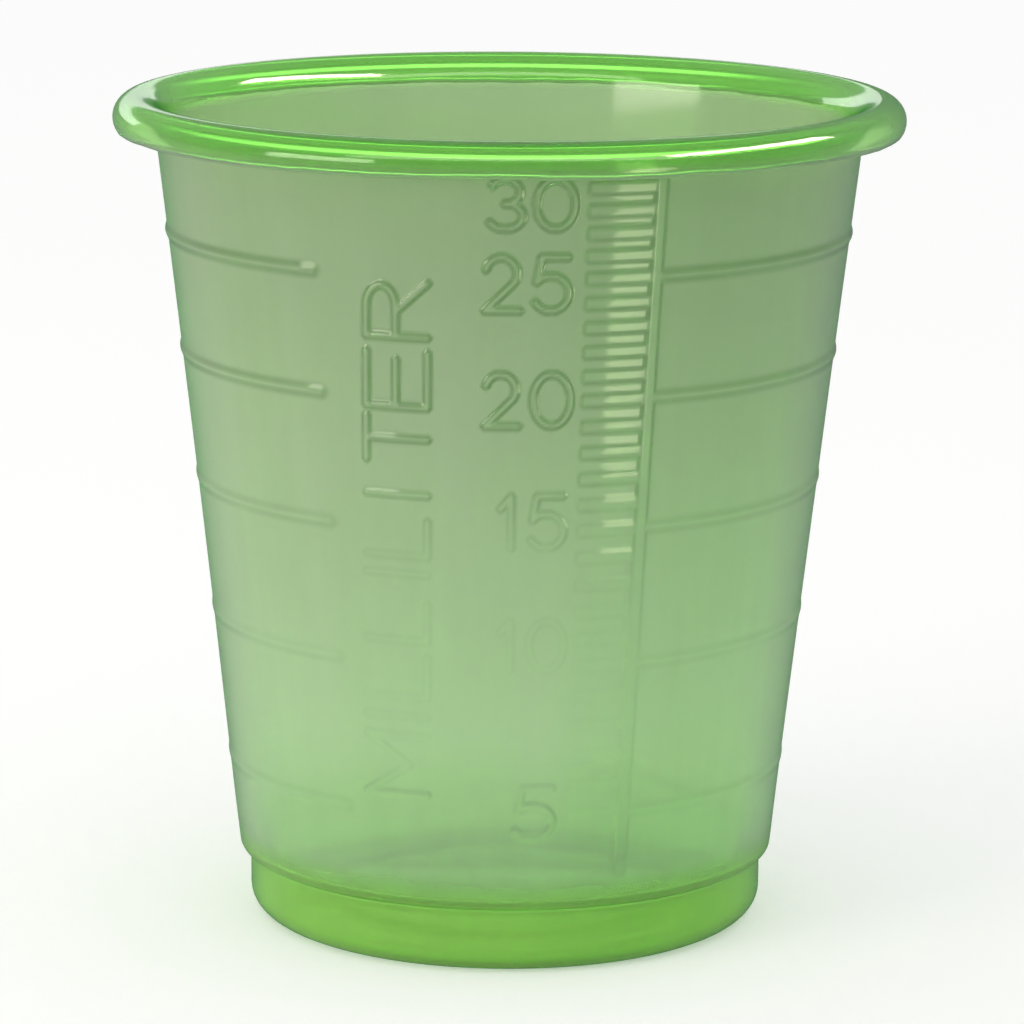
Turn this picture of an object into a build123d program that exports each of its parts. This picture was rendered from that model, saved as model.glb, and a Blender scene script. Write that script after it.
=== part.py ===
from build123d import *
from math import cos, sin, radians
import os

# Medicine cup of 30 ml, thermoformed as one piece from clear polypropylene sheet.
# Millimetres. The origin is the middle of the base, +Z is up, and -Y is the front,
# where the scale stands beside the bare field that carries the numerals.

# Overall size
cup_height = 42.3
rim_radius = 20.0

# Lip: the sheet turns outward over a root bend, then down and under in a curl
lip_sheet = 0.5
curl_radius = 1.1
curl_under = 35.0
root_radius = 1.5

# Wall, by its outer face. The sheet was drawn thinner towards the foot
wall_foot_radius = 13.74
wall_foot_sheet = 0.32

# Shoulder, an undercut ledge that a stacked cup rests on, and the foot below it
shoulder_height = 3.55
ledge_width = 0.54
ledge_drop = 0.22
foot_sheet = 0.36
foot_bend = 1.3

# Floor, with a middle panel raised clear of the table
floor_sheet = 0.55
panel_rise = 0.3
panel_radius = 8.8

# Ring beads at 5, 10, 15, 20 and 25 ml, crisper towards the lip
ring_heights = (8.4, 16.1, 23.0, 29.5, 35.5)
ring_depths = (0.04, 0.05, 0.06, 0.09, 0.12)
ring_width = 0.95
ring_left_end = -32.8

# Scale: an upright spine with a tooth for each millilitre, angles from straight ahead
spine_angle = 24.1
spine_sweep = 2.1
spine_depth = 0.11
spine_bottom = 5.2
spine_top = 40.4
tooth_angle = 12.3
tooth_height = 0.6
tooth_depth = 0.08
teeth_per_ring = 5
teeth_above = 4
tooth_pitch_above = 1.1
mark_root = 0.1

# Flats that stand for a quarter turn, on the outside and on the inside of a bend
flats_per_outer_bend = 3
flats_per_inner_bend = 1

# Places worked out from the sizes above
crown_radius = rim_radius - curl_radius
curl_height = cup_height - curl_radius
root_height = cup_height - root_radius
wall_top_radius = crown_radius - root_radius + lip_sheet
foot_radius = wall_foot_radius - ledge_width
notch_height = shoulder_height - ledge_drop
curl_center = (crown_radius, curl_height)
root_center = (crown_radius, root_height)
foot_center = (foot_radius - foot_bend, foot_bend)
foot_floor_center = (foot_radius - foot_bend, foot_bend - foot_sheet + floor_sheet)


def wall_radius(height):
    """Outer radius of the plain wall, a straight taper, at a height."""
    share = (height - shoulder_height) / (root_height - shoulder_height)
    return wall_foot_radius + (wall_top_radius - wall_foot_radius) * share


def half_plane(angle):
    """The upright half plane through the axis, at an angle right of straight ahead."""
    turn = radians(angle - 90.0)
    return Plane(origin=(0, 0, 0), x_dir=(cos(turn), sin(turn), 0), z_dir=(sin(turn), -cos(turn), 0))


def bend(center, radius, start, turn, flats):
    """Points round a bend of the sheet, from a start angle through a turn."""
    angles = [radians(start + turn * flat / flats) for flat in range(flats + 1)]
    return [(center[0] + radius * cos(a), center[1] + radius * sin(a)) for a in angles]


def raised(bottom, top, depth):
    """The section of a mark that stands proud of the wall, rooted in the sheet."""
    return [
        (wall_radius(bottom) - mark_root, bottom),
        (wall_radius(bottom) + depth, bottom),
        (wall_radius(top) + depth, top),
        (wall_radius(top) - mark_root, top),
    ]


def tooth_heights():
    """Height of each millilitre's tooth: even steps between the rings, and above the last."""
    between = [
        low + (high - low) * step / teeth_per_ring
        for low, high in zip(ring_heights[:-1], ring_heights[1:])
        for step in range(teeth_per_ring)
    ]
    above = [ring_heights[-1] + tooth_pitch_above * step for step in range(teeth_above + 1)]
    return between + above


def sheet_section():
    """The closed section of the sheet: its outside from floor to lip, then its inside back."""
    outside = [
        (0, panel_rise),
        (panel_radius, panel_rise),
        (panel_radius, 0),
        *bend(foot_center, foot_bend, -90, 90, flats_per_outer_bend),
        (foot_radius, notch_height),
        (wall_foot_radius, shoulder_height),
    ]
    under_lip = [
        *bend(root_center, root_radius - lip_sheet, 180, -90, flats_per_inner_bend),
        *bend(curl_center, curl_radius - lip_sheet, 90, -90, flats_per_inner_bend)[1:],
        *bend(curl_center, curl_radius - lip_sheet, 0, -curl_under, 1)[1:],
    ]
    over_lip = [
        *bend(curl_center, curl_radius, -curl_under, curl_under, 1)[:1],
        *bend(curl_center, curl_radius, 0, 90, flats_per_outer_bend),
        *bend(root_center, root_radius, 90, 90, flats_per_outer_bend)[1:],
    ]
    inside = [
        (wall_foot_radius - wall_foot_sheet, shoulder_height + wall_foot_sheet),
        (foot_radius - foot_sheet, notch_height + wall_foot_sheet),
        *bend(foot_floor_center, foot_bend - foot_sheet, 0, -90, flats_per_inner_bend),
        (panel_radius, floor_sheet),
        (panel_radius, panel_rise + floor_sheet),
        (0, panel_rise + floor_sheet),
    ]
    return outside + under_lip + over_lip + inside


with BuildPart() as cup:
    # The whole sheet, in one turn about the axis
    with BuildSketch(Plane.XZ):
        with BuildLine():
            Polyline(*sheet_section(), close=True)
        make_face()
    revolve(axis=Axis.Z)

    # Ring beads, from the spine round the back to the left end of the bare field
    with BuildSketch(half_plane(spine_angle)):
        for height, depth in zip(ring_heights, ring_depths):
            half = ring_width / 2 * (depth + mark_root) / depth
            with BuildLine():
                Polyline(
                    (wall_radius(height - half) - mark_root, height - half),
                    (wall_radius(height) + depth, height),
                    (wall_radius(height + half) - mark_root, height + half),
                    close=True,
                )
            make_face()
    revolve(axis=Axis.Z, revolution_arc=360.0 + ring_left_end - spine_angle)

    # Spine of the scale, a low rib that follows the wall
    with BuildSketch(half_plane(spine_angle - spine_sweep / 2)):
        with BuildLine():
            Polyline(*raised(spine_bottom, spine_top, spine_depth), close=True)
        make_face()
    revolve(axis=Axis.Z, revolution_arc=spine_sweep)

    # Teeth of the scale, swept round the wall to the spine
    with BuildSketch(half_plane(tooth_angle)):
        for height in tooth_heights():
            bottom, top = height - tooth_height / 2, height + tooth_height / 2
            with BuildLine():
                Polyline(*raised(bottom, top, tooth_depth), close=True)
            make_face()
    revolve(axis=Axis.Z, revolution_arc=spine_angle - tooth_angle)
cup.part.label = "cup"

os.makedirs("parts", exist_ok=True)
export_step(cup.part, "parts/cup.step")
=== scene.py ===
"""Visual model of a 30 ml medicine cup: one thermoformed sheet of clear green plastic."""

import logging
import math
from dataclasses import dataclass, field
from enum import Enum

import bpy
import numpy as np
from mathutils import Matrix, Vector


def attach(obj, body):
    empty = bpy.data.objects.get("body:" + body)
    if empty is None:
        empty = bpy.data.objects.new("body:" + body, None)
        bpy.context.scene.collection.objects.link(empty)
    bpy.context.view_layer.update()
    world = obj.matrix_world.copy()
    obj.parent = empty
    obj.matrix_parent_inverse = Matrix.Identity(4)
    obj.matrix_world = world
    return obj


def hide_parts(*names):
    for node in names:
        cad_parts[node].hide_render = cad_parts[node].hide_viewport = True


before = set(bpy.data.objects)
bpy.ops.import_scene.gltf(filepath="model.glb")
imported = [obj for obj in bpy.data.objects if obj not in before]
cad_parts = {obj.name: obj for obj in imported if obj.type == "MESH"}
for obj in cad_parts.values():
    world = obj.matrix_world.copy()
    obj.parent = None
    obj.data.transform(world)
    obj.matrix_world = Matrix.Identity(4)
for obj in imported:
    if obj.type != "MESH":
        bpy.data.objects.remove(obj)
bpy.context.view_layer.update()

MM = 0.001  # metres in a millimetre; the sizes below are in millimetres
LOG = logging.getLogger("medicine_cup")

Points = np.ndarray
Pair = tuple[float, float]
Path = list[Pair]
Color = tuple[float, float, float, float]


def soft_step(value: Points, low: float, high: float) -> Points:
    """Rises from 0 at low to 1 at high with level ends: 3 t squared less 2 t cubed.

    Args:
        value: numbers to place between low and high.
        low: value that gives 0.
        high: value that gives 1.

    Returns:
        The share for each number.
    """
    share = np.clip((value - low) / (high - low), 0.0, 1.0)
    return share * share * (3.0 - 2.0 * share)


def arc(center: Pair, radii: Pair, start: float, turn: float, steps: int) -> Path:
    """Points round part of an ellipse: the centre plus each radius by the cosine and sine of the angle.

    Args:
        center: middle of the ellipse.
        radii: half its width and half its height.
        start: first angle, in degrees from the right, anticlockwise.
        turn: degrees to the last angle.
        steps: runs between the first and the last point.

    Returns:
        The points in order.
    """
    angles = np.radians(start + turn * np.arange(steps + 1) / steps)
    x = center[0] + radii[0] * np.cos(angles)
    y = center[1] + radii[1] * np.sin(angles)
    return list(zip(x.tolist(), y.tolist()))


def beside(corner: Pair, offsets: tuple[Pair, ...]) -> Path:
    """Points at offsets, outwards and upwards, from a corner."""
    return [(corner[0] + out, corner[1] + up) for out, up in offsets]


def distance_to(path: Path, x: Points, y: Points) -> Points:
    """Distance of each point from a path: the least of its distances from the path's runs.

    Args:
        path: corners of the path.
        x: first coordinate of each point.
        y: second coordinate of each point.

    Returns:
        The distances, in the shape of x.
    """
    nearest = np.full(np.broadcast(x, y).shape, np.inf)
    for (x0, y0), (x1, y1) in zip(path[:-1], path[1:]):
        run_x, run_y = x1 - x0, y1 - y0
        share = np.clip(((x - x0) * run_x + (y - y0) * run_y) / (run_x**2 + run_y**2), 0.0, 1.0)
        nearest = np.minimum(nearest, np.hypot(x - x0 - share * run_x, y - y0 - share * run_y))
    return nearest


GLYPHS: dict[str, list[Path]] = {
    "0": [arc((0.5, 0.5), (0.5, 0.5), 0, 360, 28)],
    "1": [[(0.22, 0.76), (0.62, 1.0), (0.62, 0.0)]],
    "2": [arc((0.48, 0.70), (0.44, 0.30), 165, -200, 16) + [(0.02, 0.0), (1.0, 0.0)]],
    "3": [
        arc((0.46, 0.75), (0.42, 0.25), 150, -240, 14),
        arc((0.46, 0.26), (0.50, 0.26), 90, -240, 14),
    ],
    "5": [[(0.94, 1.0), (0.20, 1.0), (0.08, 0.54)] + arc((0.46, 0.33), (0.50, 0.33), 135, -285, 18)],
    "E": [[(1.0, 1.0), (0.0, 1.0), (0.0, 0.0), (1.0, 0.0)], [(0.0, 0.52), (0.86, 0.52)]],
    "I": [[(0.5, 0.0), (0.5, 1.0)]],
    "L": [[(0.0, 1.0), (0.0, 0.0), (1.0, 0.0)]],
    "M": [[(0.0, 0.0), (0.0, 1.0), (0.5, 0.30), (1.0, 1.0), (1.0, 0.0)]],
    "R": [
        [(0.0, 0.0), (0.0, 1.0)]
        + arc((0.55, 0.76), (0.38, 0.24), 90, -180, 10)
        + [(0.0, 0.52)],
        [(0.46, 0.52), (1.0, 0.0)],
    ],
    "T": [[(0.0, 1.0), (1.0, 1.0)], [(0.5, 1.0), (0.5, 0.0)]],
}


class Reading(Enum):
    """Which way a mark reads on the wall."""

    LEVEL = "left to right"
    UPWARDS = "bottom to top"


@dataclass
class Mark:
    """One raised numeral or letter, by the box that its stroke's centre line fills."""

    glyph: str
    left: float
    right: float
    bottom: float
    top: float
    reading: Reading = Reading.LEVEL

    def paths(self) -> list[Path]:
        """The glyph's strokes in the box. Read upwards, its top points left."""
        wide, high = self.right - self.left, self.top - self.bottom
        placed = []
        for stroke in GLYPHS[self.glyph]:
            turned = stroke if self.reading is Reading.LEVEL else [(1.0 - y, x) for x, y in stroke]
            placed.append([(self.left + x * wide, self.bottom + y * high) for x, y in turned])
        return placed


@dataclass
class Wall:
    """The tapered wall: its outer face, its sheet and the slow waves that forming leaves."""

    foot_height: float = 3.55
    top_height: float = 40.8
    foot_radius: float = 13.74
    top_radius: float = 17.9
    bow: float = 0.05
    inner_foot: Pair = (13.42, 3.87)
    inner_top: Pair = (17.4, 40.8)
    wave: float = 0.012
    # Share, waves in a turn, lean per millimetre of height and phase of each sine
    sines: tuple[tuple[float, float, float, float], ...] = (
        (1.0, 3, 0.11, 0.0),
        (0.7, 7, -0.23, 1.3),
        (0.35, 17, 0.31, 0.4),
    )
    still_at_foot: float = 3.0
    still_at_top: float = 2.0

    def outer_radius(self, height: Points) -> Points:
        """Straight taper from foot to top, less a bow that follows half a sine.

        Args:
            height: heights above the table.

        Returns:
            Radius of the outer face at each height.
        """
        share = (height - self.foot_height) / (self.top_height - self.foot_height)
        taper = self.foot_radius + (self.top_radius - self.foot_radius) * share
        return taper - self.bow * np.sin(np.pi * np.clip(share, 0.0, 1.0))

    def inner_radius(self, height: Points) -> Points:
        """Straight taper between the inner face's foot and top, for each height."""
        (low_radius, low), (high_radius, high) = self.inner_foot, self.inner_top
        return low_radius + (high_radius - low_radius) * (height - low) / (high - low)

    def waves(self, angle: Points, height: Points) -> Points:
        """Slow waves of the drawn sheet: a sum of sines in the angle and the height.

        Args:
            angle: degrees from straight ahead, towards +X.
            height: heights above the table.

        Returns:
            How far the outer face stands out.
        """
        turn = np.radians(angle)
        total = sum(share * np.sin(n * turn + lean * height + phase) for share, n, lean, phase in self.sines)
        fade = soft_step(height, self.foot_height, self.foot_height + self.still_at_foot)
        fade = fade * (1.0 - soft_step(height, self.top_height - self.still_at_top, self.top_height))
        return self.wave * total * fade


@dataclass
class Scale:
    """Ring beads, spine and teeth, raised from the wall."""

    ring_heights: tuple[float, ...] = (8.4, 16.1, 23.0, 29.5, 35.5)
    ring_depths: tuple[float, ...] = (0.05, 0.055, 0.065, 0.10, 0.12)
    ring_width: float = 0.95
    ring_left_end: float = -32.8
    spine_angle: float = 24.0
    spine_width: float = 0.62
    spine_depth: float = 0.11
    spine_bottom: float = 5.2
    spine_top: float = 40.4
    tooth_angle: float = 12.3
    tooth_height: float = 0.62
    tooth_depth: float = 0.08
    teeth_per_ring: int = 5
    teeth_above: int = 4
    tooth_pitch_above: float = 1.1
    soft: float = 0.09
    soft_end: float = 0.3
    spine_faint: float = 0.5
    spine_fade: Pair = (17.0, 29.0)
    tooth_faint: float = 0.15
    tooth_fade: Pair = (19.0, 29.0)

    def rings(self, angle: Points, height: Points, radius: Points) -> Points:
        """Rounded beads round the wall: half a cosine wave across, with a round end.

        Args:
            angle: degrees from straight ahead.
            height: heights above the table.
            radius: radius of the wall at each height.

        Returns:
            How far the beads stand out.
        """
        beyond = np.mod(angle - self.spine_angle, 360.0)
        length = 360.0 + self.ring_left_end - self.spine_angle
        past = np.minimum(np.radians(beyond - length), np.radians(360.0 - beyond)) * radius
        past = np.maximum(past, 0.0)
        raised = np.zeros(np.broadcast(angle, height).shape)
        half = self.ring_width / 2
        for level, depth in zip(self.ring_heights, self.ring_depths):
            away = np.minimum(np.hypot(height - level, past), half)
            raised = np.maximum(raised, depth * (1.0 + np.cos(np.pi * away / half)) / 2)
        return raised

    def tooth_heights(self) -> list[float]:
        """Even steps between the rings, and above the last."""
        between = [
            low + (high - low) * step / self.teeth_per_ring
            for low, high in zip(self.ring_heights[:-1], self.ring_heights[1:])
            for step in range(self.teeth_per_ring)
        ]
        above = [
            self.ring_heights[-1] + self.tooth_pitch_above * step for step in range(self.teeth_above + 1)
        ]
        return between + above

    def comb(self, angle: Points, height: Points, radius: Points) -> Points:
        """Spine and teeth: flat-topped bars whose sides rise over a soft step.

        Args:
            angle: degrees from straight ahead.
            height: heights above the table.
            radius: radius of the wall at each height.

        Returns:
            How far the bars stand out.
        """
        across = np.abs(np.radians(angle - self.spine_angle)) * radius
        half = self.spine_width / 2
        spine = 1.0 - soft_step(across, half - self.soft, half + self.soft)
        end, bottom, top = self.soft_end, self.spine_bottom, self.spine_top
        spine = spine * soft_step(height, bottom - end, bottom + end)
        spine = spine * (1.0 - soft_step(height, top - end, top + end))
        spine = spine * (self.spine_faint + (1.0 - self.spine_faint) * soft_step(height, *self.spine_fade))
        reach = np.radians(angle - self.tooth_angle) * radius
        teeth = np.zeros(np.broadcast(angle, height).shape)
        half = self.tooth_height / 2
        for level in self.tooth_heights():
            bar = 1.0 - soft_step(np.abs(height - level), half - self.soft, half + self.soft)
            teeth = np.maximum(teeth, bar)
        teeth = teeth * soft_step(reach, -self.soft, self.soft)
        fade = self.tooth_faint + (1.0 - self.tooth_faint) * soft_step(height, *self.tooth_fade)
        teeth = teeth * (angle < self.spine_angle) * fade
        return np.maximum(self.spine_depth * spine, self.tooth_depth * teeth)


@dataclass
class Lettering:
    """Raised numerals beside the scale, and the unit word that reads upwards."""

    stroke: float = 0.46
    soft: float = 0.13
    depth: float = 0.10
    faint: float = 0.2
    fade: Pair = (20.0, 29.0)
    low_numeral: float = 0.4
    low_fade: Pair = (9.0, 11.0)
    word: str = "MILLILITER"
    word_left: float = -6.76
    word_right: float = -3.82
    word_spans: tuple[Pair, ...] = (
        (9.36, 12.39),
        (13.0, 13.8),
        (14.41, 16.49),
        (17.31, 19.19),
        (20.3, 21.1),
        (21.61, 23.39),
        (24.3, 25.1),
        (26.41, 28.59),
        (29.11, 31.79),
        (32.55, 35.24),
    )
    numerals: tuple[tuple[str, float, float, float, float], ...] = (
        ("5", 0.44, 2.40, 7.27, 9.88),
        ("1", -0.60, 0.70, 16.0, 18.5),
        ("0", 1.10, 2.80, 16.0, 18.5),
        ("1", -0.60, 0.70, 22.2, 24.8),
        ("5", 1.10, 2.80, 22.2, 24.8),
        ("2", -1.12, 0.52, 28.31, 30.88),
        ("0", 1.20, 3.01, 28.31, 30.88),
        ("2", -1.15, 0.55, 33.99, 36.59),
        ("5", 1.22, 2.95, 33.99, 36.59),
        ("3", -0.93, 0.75, 37.97, 40.37),
        ("0", 1.30, 3.15, 37.97, 40.37),
    )

    def marks(self) -> list[Mark]:
        """Every numeral and letter with its box."""
        numerals = [Mark(*numeral) for numeral in self.numerals]
        letters = [
            Mark(letter, self.word_left, self.word_right, low, high, Reading.UPWARDS)
            for letter, (low, high) in zip(self.word, self.word_spans)
        ]
        return numerals + letters

    def raised(self, across: Points, height: Points) -> Points:
        """Strokes that rise by a soft step to a level top, fainter down the wall.

        Args:
            across: distance right of the middle, seen from the front.
            height: heights above the table.

        Returns:
            How far the strokes stand out.
        """
        top = np.zeros(np.broadcast(across, height).shape)
        half, margin = self.stroke / 2, self.stroke
        for mark in self.marks():
            near = (
                (across > mark.left - margin)
                & (across < mark.right + margin)
                & (height > mark.bottom - margin)
                & (height < mark.top + margin)
            )
            if not near.any():
                continue
            for path in mark.paths():
                away = distance_to(path, across[near], height[near])
                top[near] = np.maximum(top[near], 1.0 - soft_step(away, half - self.soft, half))
        fade = self.faint + (1.0 - self.faint) * soft_step(height, *self.fade)
        fade = fade + self.low_numeral * (1.0 - soft_step(height, *self.low_fade))
        return self.depth * fade * top


@dataclass
class Lip:
    """The rolled lip: a root bend outwards, then a curl down to the trimmed edge."""

    crown_radius: float = 18.9
    curl_height: float = 41.2
    curl_radius: float = 1.1
    root_height: float = 40.8
    root_radius: float = 1.5
    sheet: float = 0.5
    under: float = 35.0
    # Places across the cut, and how far the cut bulges there
    cut: tuple[Pair, ...] = ((0.12, 0.05), (0.4, 0.07), (0.7, 0.07), (0.92, 0.04))
    under_root_steps: int = 7
    under_curl_steps: int = 9
    curl_steps: int = 14
    root_steps: int = 10
    ragged: float = 0.05
    ragged_quick: float = 0.8
    ragged_slow: float = 0.5
    ragged_spacing: int = 12
    # How far the rows before and after the cut follow it
    follow_under: Pair = (0.4, 0.9)
    follow_outside: tuple[float, float, float] = (0.95, 0.5, 0.15)

    def underside(self) -> Path:
        """From the top of the wall's outer face, under the lip, to the trimmed edge."""
        root_radius, curl_radius = self.root_radius - self.sheet, self.curl_radius - self.sheet
        root_center = (self.crown_radius, self.root_height)
        curl_center = (self.crown_radius, self.curl_height)
        root = arc(root_center, (root_radius, root_radius), 180, -90, self.under_root_steps)
        curl = arc(curl_center, (curl_radius, curl_radius), 90, -90 - self.under, self.under_curl_steps)
        return root + curl[1:]

    def trimmed_edge(self) -> Path:
        """Across the cut, from the underside to the outside, with slightly round corners."""
        turn = math.radians(-self.under)
        inner, outer = self.curl_radius - self.sheet, self.curl_radius
        path = []
        for share, out in self.cut:
            reach = inner + (outer - inner) * share
            radius = self.crown_radius + reach * math.cos(turn) + out * math.sin(turn)
            path.append((radius, self.curl_height + reach * math.sin(turn) - out * math.cos(turn)))
        return path

    def outside(self) -> Path:
        """From the trimmed edge over the crown and down to the top of the inner face."""
        root_center = (self.crown_radius, self.root_height)
        curl_center = (self.crown_radius, self.curl_height)
        curl_radii, turn = (self.curl_radius, self.curl_radius), 90 + self.under
        curl = arc(curl_center, curl_radii, -self.under, turn, self.curl_steps)
        root = arc(root_center, (self.root_radius, self.root_radius), 90, 90, self.root_steps)
        return curl + root[1:]

    def shift(self, columns: int, seed: int) -> Points:
        """How far the cut moves along the curl at each column: quick draws smoothed, and slow ones between.

        Args:
            columns: points round the lip.
            seed: seed of the draws.

        Returns:
            The shift of each column.
        """
        draw = np.random.default_rng(seed)
        rough = draw.normal(0.0, 1.0, columns)
        quick = (np.roll(rough, 1) + rough + np.roll(rough, -1)) / 3
        slow_places = np.arange(0, columns + 1, self.ragged_spacing)
        slow_draws = draw.normal(0.0, 1.0, columns // self.ragged_spacing + 1)
        slow = np.interp(np.arange(columns), slow_places, slow_draws)
        return self.ragged * (self.ragged_quick * quick + self.ragged_slow * slow)


@dataclass
class Bars:
    """A group of short ribs under the base, each a step nearer the front than the last."""

    start: Pair
    end: Pair
    start_drift: float
    end_drift: float
    count: int
    pitch: float = 1.0

    def paths(self) -> list[Path]:
        """The middle line of each bar."""
        return [
            [
                (self.start[0] + self.start_drift * step, self.start[1] - self.pitch * step),
                (self.end[0] + self.end_drift * step, self.end[1] - self.pitch * step),
            ]
            for step in range(self.count)
        ]


@dataclass
class Foot:
    """Shoulder, foot and floor, with the raised middle panel and its plain moulded ribs."""

    ledge_radius: float = 13.74
    ledge_height: float = 3.55
    radius: float = 13.2
    notch_height: float = 3.33
    sheet: float = 0.36
    bend: float = 1.3
    wall_sheet: float = 0.32
    floor_sheet: float = 0.55
    panel_radius: float = 8.8
    panel_rise: float = 0.3
    contact: float = 1.2
    # Small round corners, as offsets outwards and upwards
    panel_corner: tuple[Pair, ...] = ((0.08, 0.03), (0.22, 0.0))
    notch_corner: tuple[Pair, ...] = ((0.01, -0.18), (0.06, -0.04), (0.18, 0.05))
    ledge_corner: tuple[Pair, ...] = ((-0.16, -0.08), (-0.05, -0.02), (0.0, 0.08), (0.03, 0.3))
    inner_ledge_corner: tuple[Pair, ...] = ((0.50, -0.06), (0.30, -0.14), (0.1, -0.22), (0.01, -0.36))
    inner_panel_corner: tuple[Pair, ...] = ((0.25, 0.0), (0.1, 0.03))
    outer_bend_steps: int = 9
    inner_bend_steps: int = 8
    outer_rows: Pair = (2.0, 2.8)
    inner_rows: Pair = (3.0, 2.2)
    panel_rows: tuple[float, float, float] = (8.0, 4.0, 1.0)
    rib_depth: float = 0.2
    rib_width: float = 0.45
    rib_soft: float = 0.18
    rib_ring_center: Pair = (-0.3, 4.6)
    rib_ring_radius: float = 2.4
    rib_bars: tuple[Bars, ...] = (
        Bars((-7.9, 5.2), (-4.7, 5.8), 0.3, 0.2, 5),
        Bars((4.9, 5.2), (7.4, 4.6), 0.0, 0.2, 3),
    )
    ribs_end: Pair = (8.1, 8.5)

    def outside(self) -> Path:
        """From the panel's rim over the contact ring, up the foot and out over the ledge."""
        panel, rise, bend = self.panel_radius, self.panel_rise, self.bend
        low_corner = beside((panel, 0.0), self.panel_corner)
        path = [(2 * panel - radius, rise - level) for radius, level in reversed(low_corner)]
        path += [(panel, rise / 2), *low_corner, (panel + self.contact, 0.0)]
        path += arc((self.radius - bend, bend), (bend, bend), -90, 90, self.outer_bend_steps)
        path += [(self.radius, level) for level in self.outer_rows]
        path += beside((self.radius, self.notch_height), self.notch_corner)
        return path + beside((self.ledge_radius, self.ledge_height), self.ledge_corner)

    def inside(self) -> Path:
        """From the foot of the wall's inner face over the floor to the middle of the panel."""
        inner, floor = self.radius - self.sheet, self.floor_sheet
        bend, panel, rise = self.bend - self.sheet, self.panel_radius, self.panel_rise
        path = beside((inner, self.ledge_height + self.wall_sheet), self.inner_ledge_corner)
        path += [(inner, level) for level in self.inner_rows]
        path += arc((inner - bend, floor + bend), (bend, bend), 0, -90, self.inner_bend_steps)
        path += [(panel + self.contact, floor), *beside((panel, floor), self.inner_panel_corner)]
        out, up = self.inner_panel_corner[-1]
        path += [(panel, floor + rise / 2), (panel - out, floor + rise - up)]
        return path + [(radius, floor + rise) for radius in self.panel_rows]

    def ribs(self, x: Points, y: Points) -> Points:
        """Plain moulded ribs under the panel: a ring, and two groups of short bars.

        Args:
            x: distance right of the middle.
            y: distance behind the middle.

        Returns:
            How far the underside stands down.
        """
        ring_radii = (self.rib_ring_radius, self.rib_ring_radius)
        paths = [arc(self.rib_ring_center, ring_radii, 0, 360, 36)]
        for bars in self.rib_bars:
            paths += bars.paths()
        top = np.zeros(np.broadcast(x, y).shape)
        half = self.rib_width / 2
        for path in paths:
            away = distance_to(path, x, y)
            top = np.maximum(top, 1.0 - soft_step(away, half - self.rib_soft, half))
        return self.rib_depth * top * (1.0 - soft_step(np.hypot(x, y), *self.ribs_end))


@dataclass
class Skin:
    """A closed skin, gathered from grids of points and the seams between them."""

    points: list[Points] = field(default_factory=list)
    edges: list[Points] = field(default_factory=list)
    quads: list[Points] = field(default_factory=list)
    triangles: list[Points] = field(default_factory=list)
    count: int = 0

    def add(self, grid: Points, edge: Points | None = None) -> Points:
        """Keeps a grid of points.

        Args:
            grid: points, with x, y and z along the last axis.
            edge: how steep the relief is at each point, or None for none.

        Returns:
            The vertex number of each point, in the grid's shape.
        """
        shape = grid.shape[:-1]
        size = int(np.prod(shape))
        self.points.append(grid.reshape(-1, 3))
        self.edges.append(np.zeros(size) if edge is None else edge.reshape(-1))
        numbers = np.arange(self.count, self.count + size).reshape(shape)
        self.count += size
        return numbers

    def weave(self, numbers: Points) -> None:
        """Adds a quad for each cell of a grid of vertex numbers: rows go up, columns to the right."""
        corners = (numbers[:-1, :-1], numbers[:-1, 1:], numbers[1:, 1:], numbers[1:, :-1])
        self.quads.append(np.stack([corner.reshape(-1) for corner in corners], axis=1))

    def seam(self, right: Points, right_at: Points, left: Points, left_at: Points) -> None:
        """Joins two lines of vertices: each run goes to the vertex of the other line abreast of its middle.

        Args:
            right: vertex numbers of the line on the right of the seam, in order.
            right_at: how far along the seam each of them is.
            left: vertex numbers of the line on the left, in order.
            left_at: how far along the seam each of them is.
        """
        right_middle = (right_at[:-1] + right_at[1:]) / 2
        left_middle = (left_at[:-1] + left_at[1:]) / 2
        over = left[np.searchsorted(left_middle, right_middle, side="left")]
        under = right[np.searchsorted(right_middle, left_middle, side="right")]
        self.triangles.append(np.stack([right[:-1], right[1:], over], axis=1))
        self.triangles.append(np.stack([under, left[1:], left[:-1]], axis=1))

    def fan(self, loop: Points, tip: int, first: bool) -> None:
        """Closes a pole: triangles from a tip to each run of a loop.

        Args:
            loop: vertex numbers round the pole, first one repeated at the end.
            tip: vertex number of the pole.
            first: True where the pole comes before the loop.
        """
        tips = np.full(len(loop) - 1, tip)
        order = [tips, loop[1:], loop[:-1]] if first else [loop[:-1], loop[1:], tips]
        self.triangles.append(np.stack(order, axis=1))

    def mesh(self, name: str) -> bpy.types.Mesh:
        """Puts the skin into a new smooth mesh, with the relief's steepness as an attribute."""
        quads, triangles = np.concatenate(self.quads), np.concatenate(self.triangles)
        corners = np.concatenate([quads.reshape(-1), triangles.reshape(-1)]).astype(np.int32)
        sizes = np.concatenate([np.full(len(quads), 4), np.full(len(triangles), 3)])
        starts = np.concatenate([[0], np.cumsum(sizes)[:-1]]).astype(np.int32)
        mesh = bpy.data.meshes.new(name)
        mesh.vertices.add(self.count)
        mesh.vertices.foreach_set("co", (np.concatenate(self.points) * MM).reshape(-1).astype(np.float32))
        mesh.loops.add(len(corners))
        mesh.loops.foreach_set("vertex_index", corners)
        mesh.polygons.add(len(sizes))
        mesh.polygons.foreach_set("loop_start", starts)
        mesh.polygons.foreach_set("use_smooth", np.ones(len(sizes), dtype=bool))
        edge = mesh.attributes.new("relief_edge", "FLOAT", "POINT")
        edge.data.foreach_set("value", np.concatenate(self.edges).astype(np.float32))
        mesh.update(calc_edges=True)
        mesh.validate()
        return mesh


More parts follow.
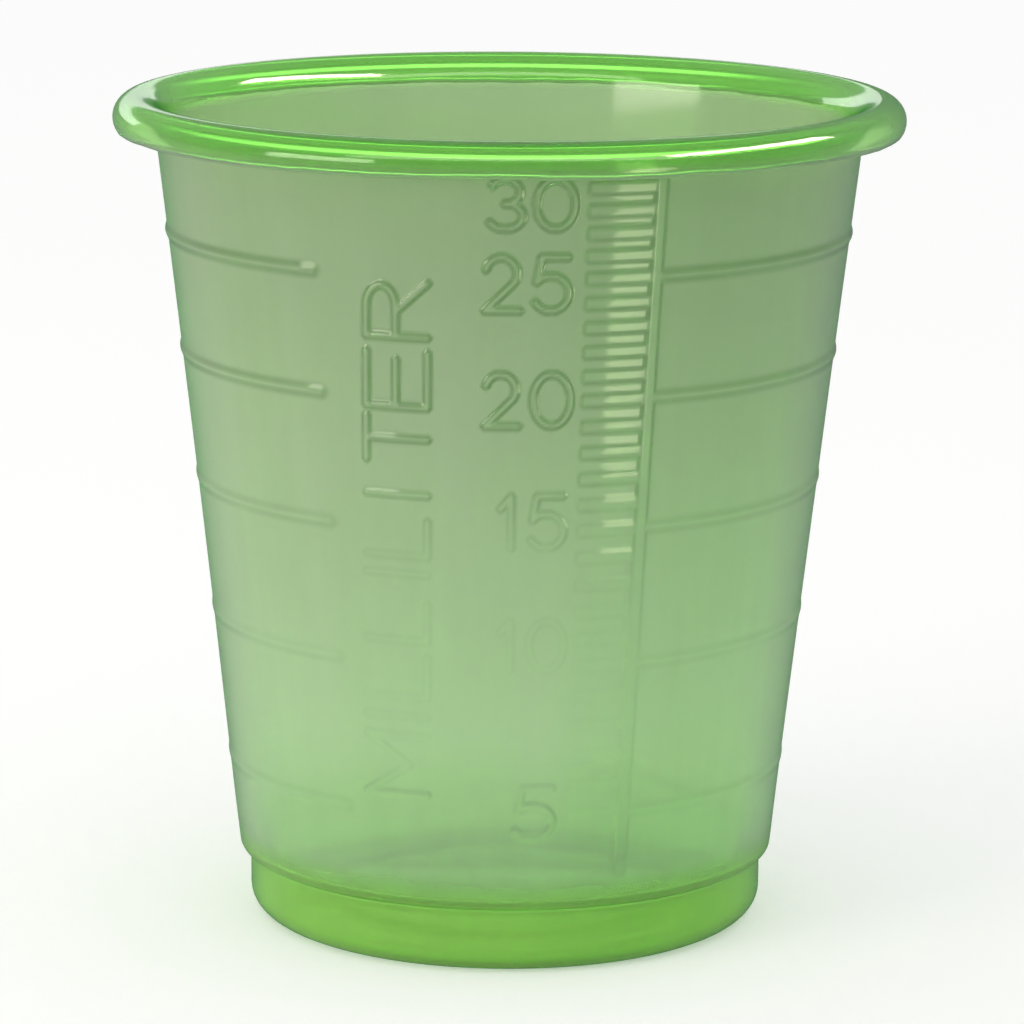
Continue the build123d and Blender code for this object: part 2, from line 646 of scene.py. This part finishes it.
def around(radius: Points, height: Points, angle: Points) -> Points:
    """Points of a turned surface: radius by the sine of the angle, less radius by its cosine, and height.

    Args:
        radius: distance from the axis.
        height: distance above the table.
        angle: degrees from straight ahead (-Y) towards +X.

    Returns:
        The points, with x, y and z along a new last axis.
    """
    turn = np.radians(angle)
    return np.stack(np.broadcast_arrays(radius * np.sin(turn), -radius * np.cos(turn), height), axis=-1)


def spaced(*runs: tuple[float, float, float]) -> Points:
    """Numbers along joined runs, each given by its start, its end and its greatest step."""
    parts = [
        np.linspace(start, end, int(math.ceil((end - start) / step)) + 1)[:-1] for start, end, step in runs
    ]
    return np.concatenate([*parts, [runs[-1][1]]])


@dataclass
class Cup:
    """The whole cup, one closed skin of sheet."""

    wall: Wall = field(default_factory=Wall)
    scale: Scale = field(default_factory=Scale)
    lettering: Lettering = field(default_factory=Lettering)
    lip: Lip = field(default_factory=Lip)
    foot: Foot = field(default_factory=Foot)
    front_start: float = -34.5
    # Last angle and greatest step of each run of columns in front
    front_columns: tuple[Pair, ...] = (
        (-31.8, 0.5),
        (-29.4, 0.8),
        (-11.0, 0.34),
        (-5.4, 1.4),
        (15.9, 0.34),
        (22.4, 1.3),
        (25.6, 0.3),
        (26.0, 0.4),
    )
    band_bottom: float = 4.6
    band_top: float = 40.72
    row_step: float = 0.118
    back_step: float = 2.4
    back_gap: float = 1.2
    outer_margin: float = 0.62
    outer_steps: Pair = (0.105, 1.4)
    inner_margin: float = 0.8
    inner_steps: Pair = (0.2, 2.0)
    inner_start: float = 0.1
    inner_stop: float = 0.15
    dent: float = 0.5
    inner_waves: float = 0.8
    panel_runs: tuple[tuple[float, float, float], ...] = ((0.5, 1.6, 0.35), (1.6, 8.5, 0.17))
    plain_columns: int = 180
    lip_columns: int = 264
    edge_seed: int = 11

    def loop(self, columns: int) -> Points:
        """Angles all round from the front's left side, the first one repeated a turn later."""
        return self.front_start + 360.0 * np.arange(columns + 1) / columns

    def ring(self, skin: Skin, path: Path, columns: int) -> Points:
        """Turns a path about the axis.

        Args:
            skin: skin that takes the grid.
            path: radius and height of each row.
            columns: points in each row.

        Returns:
            Vertex numbers, the first column repeated as the last.
        """
        section = np.array(path)
        grid = around(section[:, :1], section[:, 1:], self.loop(columns)[None, :-1])
        numbers = skin.add(grid)
        numbers = np.concatenate([numbers, numbers[:, :1]], axis=1)
        skin.weave(numbers)
        return numbers

    def relief(self, angle: Points, height: Points) -> Points:
        """Everything raised from the outer face: the highest of the rings, the scale and the lettering."""
        radius = self.wall.outer_radius(height)
        across = radius * np.sin(np.radians(angle))
        ahead = np.cos(np.radians(angle)) > 0
        rings = self.scale.rings(angle, height, radius)
        comb = self.scale.comb(angle, height, radius) * ahead
        across, height = np.broadcast_arrays(np.where(ahead, across, -np.inf), height)
        return np.maximum(np.maximum(rings, comb), self.lettering.raised(across, height))

    def rows(self, low: float, high: float, margin: float, steps: Pair) -> Points:
        """Heights of the rows of a face of the wall, closer together at each bead.

        Args:
            low: lowest row.
            high: highest row.
            margin: how far the close rows reach above and below a bead's middle.
            steps: greatest step at a bead, and between the beads.

        Returns:
            The heights in order.
        """
        close, plain = steps
        runs = []
        for level in self.scale.ring_heights:
            runs += [(low, level - margin, plain), (level - margin, level + margin, close)]
            low = level + margin
        return spaced(*runs, (low, high, plain))

    def patch(self, skin: Skin, angles: Points, heights: Points) -> Points:
        """One grid of the wall's outer face, pushed out by the relief and the waves.

        Args:
            skin: skin that takes the grid.
            angles: angle of each column.
            heights: height of each row.

        Returns:
            Vertex numbers of the grid.
        """
        angle, height = angles[None, :], heights[:, None]
        raised = self.relief(angle, height)
        rise = np.gradient(raised, heights, axis=0)
        run = np.gradient(raised, np.radians(angles), axis=1) / self.wall.outer_radius(height)
        edge = np.hypot(rise, run)
        radius = self.wall.outer_radius(height) + raised + self.wall.waves(angle, height)
        numbers = skin.add(around(radius, height, angle), edge)
        skin.weave(numbers)
        return numbers

    def outer_band(self, skin: Skin) -> tuple[Points, Points, Points]:
        """The wall's outer face: a fine grid in front, a plain one round the back, and two upright seams.

        Args:
            skin: skin that takes the band.

        Returns:
            Vertex numbers of the lowest row and of the highest, and the angle of each vertex.
        """
        starts = [self.front_start] + [end for end, step in self.front_columns]
        runs = [(start, end, step) for start, (end, step) in zip(starts, self.front_columns)]
        front_angles = spaced(*runs)
        turn_end = 360.0 + self.front_start
        back_angles = spaced((starts[-1] + self.back_gap, turn_end - self.back_gap, self.back_step))
        front_heights = spaced((self.band_bottom, self.band_top, self.row_step))
        back_heights = self.rows(self.band_bottom, self.band_top, self.outer_margin, self.outer_steps)
        front = self.patch(skin, front_angles, front_heights)
        back = self.patch(skin, back_angles, back_heights)
        skin.seam(back[:, 0], back_heights, front[:, -1], front_heights)
        skin.seam(front[:, 0], front_heights, back[:, -1], back_heights)
        angles = np.concatenate([front_angles, back_angles, [turn_end]])
        low_row = np.concatenate([front[0], back[0], front[0, :1]])
        high_row = np.concatenate([front[-1], back[-1], front[-1, :1]])
        return low_row, high_row, angles

    def inner_wall(self, skin: Skin) -> Points:
        """The wall's inner face from top to foot, dented outwards behind each bead.

        Args:
            skin: skin that takes the grid.

        Returns:
            Vertex numbers, the first column repeated as the last.
        """
        low, high = self.wall.inner_foot[1] + self.inner_start, self.wall.inner_top[1] - self.inner_stop
        heights = self.rows(low, high, self.inner_margin, self.inner_steps)[::-1]
        angles = self.loop(self.plain_columns)[:-1]
        angle, height = angles[None, :], heights[:, None]
        radius = self.wall.inner_radius(height)
        dent = self.dent * self.scale.rings(angle, height, radius)
        dent = dent + self.wall.waves(angle, height) * self.inner_waves
        numbers = skin.add(around(radius + dent, height, angle))
        numbers = np.concatenate([numbers, numbers[:, :1]], axis=1)
        skin.weave(numbers)
        return numbers

    def ragged_lip(self, skin: Skin) -> Points:
        """The lip in one grid, its trimmed edge a little ragged: each row near the cut moves along the curl.

        Args:
            skin: skin that takes the grid.

        Returns:
            Vertex numbers, the first column repeated as the last.
        """
        under, cut, outside = self.lip.underside(), self.lip.trimmed_edge(), self.lip.outside()
        section = np.array(under + cut + outside)
        angles = self.loop(self.lip_columns)[:-1]
        shift = self.lip.shift(self.lip_columns, self.edge_seed)
        near_cut = np.zeros(len(section))
        first, last = len(under), len(under) + len(cut)
        near_cut[first - len(self.lip.follow_under) : first] = self.lip.follow_under
        near_cut[first:last] = 1.0
        near_cut[last : last + len(self.lip.follow_outside)] = self.lip.follow_outside
        turn = math.radians(-self.lip.under)
        radius = section[:, :1] + near_cut[:, None] * shift[None, :] * math.sin(turn)
        height = section[:, 1:] - near_cut[:, None] * shift[None, :] * math.cos(turn)
        numbers = skin.add(around(radius, height, angles[None, :]))
        numbers = np.concatenate([numbers, numbers[:, :1]], axis=1)
        skin.weave(numbers)
        return numbers

    def underside_panel(self, skin: Skin) -> Points:
        """The panel's underside, with its ribs standing down.

        Args:
            skin: skin that takes the grid.

        Returns:
            Vertex numbers of the outermost row, the first one repeated.
        """
        radii = spaced(*self.panel_runs)
        angles = self.loop(self.plain_columns)[:-1]
        radius, turn = radii[:, None], np.radians(angles)[None, :]
        x, y = radius * np.sin(turn), -radius * np.cos(turn)
        height = self.foot.panel_rise - self.foot.ribs(x, y)
        numbers = skin.add(np.stack(np.broadcast_arrays(x, y, height), axis=-1))
        numbers = np.concatenate([numbers, numbers[:, :1]], axis=1)
        skin.weave(numbers)
        tip = skin.add(np.array([[0.0, 0.0, self.foot.panel_rise]]))
        skin.fan(numbers[0], int(tip[0]), first=True)
        return numbers[-1]

    def build(self) -> bpy.types.Object:
        """Joins floor, foot, wall, lip and inside into one closed skin, and returns its object."""
        skin = Skin()
        plain = self.loop(self.plain_columns)
        panel_edge = self.underside_panel(skin)
        foot = self.ring(skin, self.foot.outside(), self.plain_columns)
        low_row, high_row, angles = self.outer_band(skin)
        lip = self.ragged_lip(skin)
        inner = self.inner_wall(skin)
        inside = self.ring(skin, self.foot.inside(), self.plain_columns)
        top = skin.add(np.array([[0.0, 0.0, self.foot.floor_sheet + self.foot.panel_rise]]))
        lip_angles = self.loop(self.lip_columns)
        skin.seam(panel_edge, plain, foot[0], plain)
        skin.seam(foot[-1], plain, low_row, angles)
        skin.seam(high_row, angles, lip[0], lip_angles)
        skin.seam(lip[-1], lip_angles, inner[0], plain)
        skin.seam(inner[-1], plain, inside[0], plain)
        skin.fan(inside[-1], int(top[0]), first=False)
        cup = bpy.data.objects.new("cup_sheet_skin", skin.mesh("cup_sheet_skin"))
        bpy.context.scene.collection.objects.link(cup)
        return cup


class Wire:
    """A number socket, used in Python expressions that add Math nodes."""

    def __init__(self, shop: "Workshop", socket: bpy.types.NodeSocket) -> None:
        """Keeps the socket and the workshop that its node is in."""
        self.shop = shop
        self.socket = socket

    def math(self, operation: str, *values: "float | Wire") -> "Wire":
        """A Math node of an operation on this socket and further values."""
        inputs = {place: value for place, value in enumerate((self, *values))}
        return Wire(self.shop, self.shop.node("ShaderNodeMath", {"operation": operation}, inputs).outputs[0])

    def __add__(self, other: "float | Wire") -> "Wire":
        """self + other"""
        return self.math("ADD", other)

    __radd__ = __add__

    def __mul__(self, other: "float | Wire") -> "Wire":
        """self * other"""
        return self.math("MULTIPLY", other)

    __rmul__ = __mul__

    def __sub__(self, other: "float | Wire") -> "Wire":
        """self - other"""
        return self.math("SUBTRACT", other)

    def __rsub__(self, other: float) -> "Wire":
        """other - self"""
        return (self * -1.0) + other

    def step(self, low: float, high: float, start: float = 0.0, end: float = 1.0) -> "Wire":
        """A smooth step from start, where this is low, to end, where it is high."""
        made = self.shop.node(
            "ShaderNodeMapRange",
            {"interpolation_type": "SMOOTHSTEP"},
            {0: self, 1: low, 2: high, 3: start, 4: end},
        )
        return Wire(self.shop, made.outputs[0])


class Workshop:
    """A material's node tree and the one method that adds nodes to it."""

    def __init__(self, name: str) -> None:
        """Starts an empty material."""
        self.material = bpy.data.materials.new(name)
        self.material.use_nodes = True
        self.tree = self.material.node_tree
        self.tree.nodes.clear()

    def node(self, kind: str, settings: dict | None = None, inputs: dict | None = None) -> bpy.types.Node:
        """Adds a node.

        Args:
            kind: the node's type.
            settings: its properties, set before its inputs.
            inputs: a value, a socket or a Wire for each input, by name or place.

        Returns:
            The node.
        """
        made = self.tree.nodes.new(kind)
        for name, value in (settings or {}).items():
            setattr(made, name, value)
        for name, value in (inputs or {}).items():
            value = value.socket if isinstance(value, Wire) else value
            if isinstance(value, bpy.types.NodeSocket):
                self.tree.links.new(value, made.inputs[name])
            else:
                made.inputs[name].default_value = value
        return made

    def wire(
        self, kind: str, settings: dict | None = None, inputs: dict | None = None, output: int | str = 0
    ) -> Wire:
        """Adds a node and returns one of its outputs for use in expressions."""
        return Wire(self, self.node(kind, settings, inputs).outputs[output])

    def place(self) -> bpy.types.NodeSocket:
        """Where a point lies on the object, in metres."""
        return self.node("ShaderNodeTexCoord").outputs["Object"]

    def blend(self, share: "float | Wire", first: object, second: object) -> bpy.types.NodeSocket:
        """A colour between two, by a share."""
        made = self.node("ShaderNodeMix", {"data_type": "RGBA"}, {"Factor": share, 6: first, 7: second})
        return made.outputs[2]

    def noise(self, place: bpy.types.NodeSocket, scale: float, detail: float) -> Wire:
        """A noise from 0 to 1 over places."""
        return self.wire("ShaderNodeTexNoise", None, {"Vector": place, "Scale": scale, "Detail": detail})

    def mixed(self, share: "float | Wire", first: object, second: object) -> bpy.types.NodeSocket:
        """A surface between two, by a share."""
        return self.node("ShaderNodeMixShader", None, {0: share, 1: first, 2: second}).outputs[0]

    def finish(
        self, surface: bpy.types.NodeSocket, volume: bpy.types.NodeSocket | None = None
    ) -> bpy.types.Material:
        """Adds the output and returns the material."""
        inputs = {"Surface": surface}
        if volume is not None:
            inputs["Volume"] = volume
        self.node("ShaderNodeOutputMaterial", None, inputs)
        return self.material


@dataclass(frozen=True)
class ClearGreenSheet:
    """Clear green polypropylene: saturated where it is thick, hazy and greyer where it was drawn thin."""

    name: str = "clear_green_sheet"
    absorbed: Color = (0.60, 0.88, 0.40, 1.0)
    density: float = 3500.0
    ior: float = 1.49
    roughness: float = 0.09
    veil_top: Color = (0.70, 0.63, 0.65, 1.0)
    veil_low: Color = (1.0, 0.98, 0.97, 1.0)
    veil_foot: Color = (0.66, 1.0, 0.25, 1.0)
    veil_lip: Color = (0.45, 0.82, 0.18, 1.0)
    veil_slant: Color = (0.05, 0.28, 0.07, 1.0)
    # Dark veil that paints shade along the steep sides of the raised marks
    veil_painted_edge_shade: Color = (0.06, 0.11, 0.05, 1.0)
    haze_foot: float = 0.38
    haze_low: float = 0.27
    haze_wall: float = 0.43
    haze_lip: float = 0.16
    haze_slant: float = 0.85
    # Heights in millimetres over which the haze's share and its veils change
    foot_band: Pair = (3.2, 4.4)
    low_band: Pair = (5.0, 14.0)
    lip_band: Pair = (40.4, 41.1)
    foot_veil_band: Pair = (3.4, 5.4)
    wall_veil_band: Pair = (6.0, 40.0)
    lip_veil_band: Pair = (40.6, 41.2)
    # Streaks run up the sheet, and clouds lie in patches. Scales are in cells per metre
    streak_scale: tuple[float, float, float] = (260.0, 260.0, 14.0)
    streak_detail: float = 3.0
    cloud_scale: float = 70.0
    cloud_detail: float = 2.0
    mottle: float = 0.3
    roughness_spread: float = 0.05
    slant_range: Pair = (0.45, 1.0)
    slant_share: float = 0.9
    # Painted shade along the relief's steep sides: its gain, its greatest share, how faint it is low down,
    # and the heights over which it grows
    painted_edge_shade_gain: float = 1.1
    painted_edge_shade_most: float = 0.75
    painted_edge_shade_faint: float = 0.3
    painted_edge_shade_band: Pair = (14.0, 29.0)
    plastic_dull: Color = (0.90, 0.97, 0.88, 1.0)
    plastic_clear: Color = (0.96, 1.0, 0.95, 1.0)
    # Darker base colour for the painted shade along the relief's steep sides
    plastic_painted_edge_shade: Color = (0.45, 0.62, 0.42, 1.0)

    @staticmethod
    def veil(shop: Workshop, color: Color) -> bpy.types.NodeSocket:
        """A fine haze of one colour, which scatters as much light back as through."""
        back = shop.node("ShaderNodeBsdfDiffuse", None, {"Color": color})
        through = shop.node("ShaderNodeBsdfTranslucent", None, {"Color": color})
        return shop.mixed(0.5, back.outputs[0], through.outputs[0])

    def material(self) -> bpy.types.Material:
        """Mixes clear plastic with a fine haze, by where the sheet is thin, and paints shade along the
        relief's steep sides.
        """
        shop = Workshop(self.name)
        place = shop.place()
        height = shop.wire("ShaderNodeSeparateXYZ", None, {0: place}, 2) * (1.0 / MM)
        drawn = shop.node("ShaderNodeMapping", None, {"Vector": place, "Scale": self.streak_scale}).outputs[0]
        streaks = shop.noise(drawn, 1.0, self.streak_detail)
        cloud = shop.noise(place, self.cloud_scale, self.cloud_detail)
        edge = shop.wire("ShaderNodeAttribute", {"attribute_name": "relief_edge"}, None, "Fac")
        facing = shop.wire("ShaderNodeLayerWeight", None, {"Blend": 0.5}, "Facing")
        slant = facing.step(*self.slant_range)
        least = 1.0 - self.mottle / 2
        haze = height.step(*self.low_band, self.haze_low, self.haze_wall)
        haze = haze + height.step(*self.foot_band, self.haze_foot - self.haze_low, 0.0)
        haze = haze * height.step(*self.lip_band, 1.0, self.haze_lip / self.haze_wall)
        haze = haze * (streaks * self.mottle + least) * (cloud * self.mottle + least)
        haze = haze + (self.haze_slant - haze) * slant
        # Painted shade: darker where the relief is steep, fainter low on the wall
        painted_edge_shade = (edge * self.painted_edge_shade_gain).math("MINIMUM", self.painted_edge_shade_most)
        painted_edge_shade = painted_edge_shade * height.step(*self.painted_edge_shade_band, self.painted_edge_shade_faint, 1.0)
        cloudy, top = self.veil(shop, self.veil_low), self.veil(shop, self.veil_top)
        cloudy = shop.mixed(height.step(*self.wall_veil_band), cloudy, top)
        cloudy = shop.mixed(height.step(*self.foot_veil_band), self.veil(shop, self.veil_foot), cloudy)
        cloudy = shop.mixed(height.step(*self.lip_veil_band), cloudy, self.veil(shop, self.veil_lip))
        cloudy = shop.mixed(slant * self.slant_share, cloudy, self.veil(shop, self.veil_slant))
        # The painted shade along the relief's edges, mixed into the haze
        cloudy = shop.mixed(painted_edge_shade, cloudy, self.veil(shop, self.veil_painted_edge_shade))
        plastic = shop.blend(cloud, self.plastic_dull, self.plastic_clear)
        # The clear part's base colour is darkened by the same painted shade along the relief's edges
        clear = shop.node(
            "ShaderNodeBsdfPrincipled",
            None,
            {
                "Base Color": shop.blend(painted_edge_shade, plastic, self.plastic_painted_edge_shade),
                "Roughness": streaks * self.roughness_spread + (self.roughness - self.roughness_spread / 2),
                "IOR": self.ior,
                "Transmission Weight": 1.0,
            },
        )
        surface = shop.mixed(haze, clear.outputs[0], cloudy)
        tint = {"Color": self.absorbed, "Density": self.density}
        return shop.finish(surface, shop.node("ShaderNodeVolumeAbsorption", None, tint).outputs[0])


@dataclass(frozen=True)
class PaleFloor:
    """A plain pale floor that shows white to the camera, in gloss and through the cup, less its shadow."""

    name: str = "pale_floor"
    color: Color = (0.80, 0.80, 0.80, 1.0)
    glow: float = 0.32

    def material(self) -> bpy.types.Material:
        """Pale diffuse, with a glow that only the camera, gloss and clear plastic see."""
        shop = Workshop(self.name)
        rays = shop.node("ShaderNodeLightPath")
        seen = Wire(shop, rays.outputs["Is Camera Ray"]) + Wire(shop, rays.outputs["Is Glossy Ray"])
        seen = (seen + Wire(shop, rays.outputs["Is Transmission Ray"])).math("MINIMUM", 1.0)
        pale = shop.node("ShaderNodeBsdfDiffuse", None, {"Color": self.color})
        glow = shop.node("ShaderNodeEmission", None, {"Strength": self.glow})
        both = shop.node("ShaderNodeAddShader", None, {0: pale.outputs[0], 1: glow.outputs[0]})
        return shop.finish(shop.mixed(seen, pale.outputs[0], both.outputs[0]))


@dataclass
class Lamp:
    """One soft lamp: an upright card that faces the cup's axis, placed by its bearing and its two heights.

    With only_shine it is seen in gloss and through the plastic, and lights nothing else.
    """

    name: str
    bearing: float
    span: float
    distance: float
    bottom: float
    top: float
    radiance: float
    tint: tuple[float, float, float] = (1.0, 1.0, 1.0)
    only_shine: bool = False

    def build(self) -> bpy.types.Object:
        """Adds the lamp to the scene, unseen by the camera itself."""
        light = bpy.data.lights.new(self.name, "AREA")
        light.shape = "RECTANGLE"
        light.size = 2.0 * self.distance * math.tan(math.radians(self.span / 2)) * MM
        light.size_y = (self.top - self.bottom) * MM
        light.energy = self.radiance * math.pi * light.size * light.size_y
        light.color = self.tint
        lamp = bpy.data.objects.new(self.name, light)
        turn, level = math.radians(self.bearing), (self.top + self.bottom) / 2
        place = Vector((math.sin(turn), -math.cos(turn), 0.0)) * self.distance
        facing = (-place).to_track_quat("-Z", "Y").to_matrix().to_4x4()
        lamp.matrix_world = Matrix.Translation((place + Vector((0.0, 0.0, level))) * MM) @ facing
        lamp.visible_camera = False
        lamp.visible_diffuse = not self.only_shine
        bpy.context.scene.collection.objects.link(lamp)
        return lamp


@dataclass
class Studio:
    """Floor, lamps, surroundings and the camera at the photograph's viewing angle."""

    floor_reach: float = 3000.0
    floor_drop: float = 0.02
    fill: float = 1.0
    camera_place: tuple[float, float, float] = (0.25, -245.0, 71.66)
    camera_pitch: float = 0.205
    camera_roll: float = 0.0065
    camera_lens: float = 171.32
    sensor: float = 36.0
    clip: Pair = (0.005, 50.0)
    lamps: tuple[Lamp, ...] = (
        Lamp("left_card", -54.0, 33.0, 300.0, 20.0, 110.0, 8.0, (1.0, 0.95, 0.80)),
        Lamp("low_card", 36.0, 11.0, 60.0, 6.5, 26.0, 7.0, (0.97, 1.0, 0.62), True),
        Lamp("right_key", 82.0, 66.0, 350.0, 240.0, 330.0, 42.0, (1.0, 0.93, 0.74), True),
        Lamp("front_line", 0.0, 96.0, 350.0, 210.0, 320.0, 5.0, (1.0, 0.97, 0.80), True),
        Lamp("back_card", -160.0, 50.0, 420.0, 70.0, 150.0, 3.5, (1.0, 1.0, 1.0), True),
    )

    def floor(self) -> bpy.types.Object:
        """A level square under the cup, just below the table plane."""
        reach, level = self.floor_reach * MM, -self.floor_drop * MM
        mesh = bpy.data.meshes.new("floor")
        around_cup = ((-reach, -reach), (reach, -reach), (reach, reach), (-reach, reach))
        corners = [(x, y, level) for x, y in around_cup]
        mesh.from_pydata(corners, [], [(0, 1, 2, 3)])
        mesh.materials.append(PaleFloor().material())
        floor = bpy.data.objects.new("floor", mesh)
        bpy.context.scene.collection.objects.link(floor)
        return floor

    def surroundings(self) -> None:
        """A plain even white all round."""
        world = bpy.data.worlds.new("surroundings")
        bpy.context.scene.world = world
        world.use_nodes = True
        tree = world.node_tree
        tree.nodes.clear()
        back = tree.nodes.new("ShaderNodeBackground")
        back.inputs["Strength"].default_value = self.fill
        output = tree.nodes.new("ShaderNodeOutputWorld")
        tree.links.new(back.outputs[0], output.inputs["Surface"])

    def camera(self) -> bpy.types.Object:
        """The camera that took the photograph: pitched down, then rolled about its own axis."""
        data = bpy.data.cameras.new("camera")
        data.lens, data.sensor_width = self.camera_lens, self.sensor
        data.clip_start, data.clip_end = self.clip
        camera = bpy.data.objects.new("camera", data)
        pitch = Matrix.Rotation(math.pi / 2 - self.camera_pitch, 4, "X")
        roll = Matrix.Rotation(self.camera_roll, 4, "Z")
        camera.matrix_world = Matrix.Translation(Vector(self.camera_place) * MM) @ pitch @ roll
        bpy.context.scene.collection.objects.link(camera)
        bpy.context.scene.camera = camera
        return camera

    def build(self) -> None:
        """Sets up the whole studio. The light tree is off, as there are few lamps."""
        bpy.context.scene.view_settings.view_transform = "Standard"
        bpy.context.scene.cycles.use_light_tree = False
        self.floor()
        self.surroundings()
        for lamp in self.lamps:
            lamp.build()
        self.camera()


def main() -> None:
    """Builds and dresses the cup, then the studio."""
    logging.basicConfig(level=logging.INFO, format="%(name)s: %(message)s")
    Studio().build()
    cup = Cup().build()
    cup.data.materials.append(ClearGreenSheet().material())
    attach(cup, "root")
    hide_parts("cup")
    triangles = sum(len(face.vertices) - 2 for face in cup.data.polygons)
    LOG.info("%s: %d vertices, %d triangles", cup.name, len(cup.data.vertices), triangles)


if __name__ == "__main__":
    main()
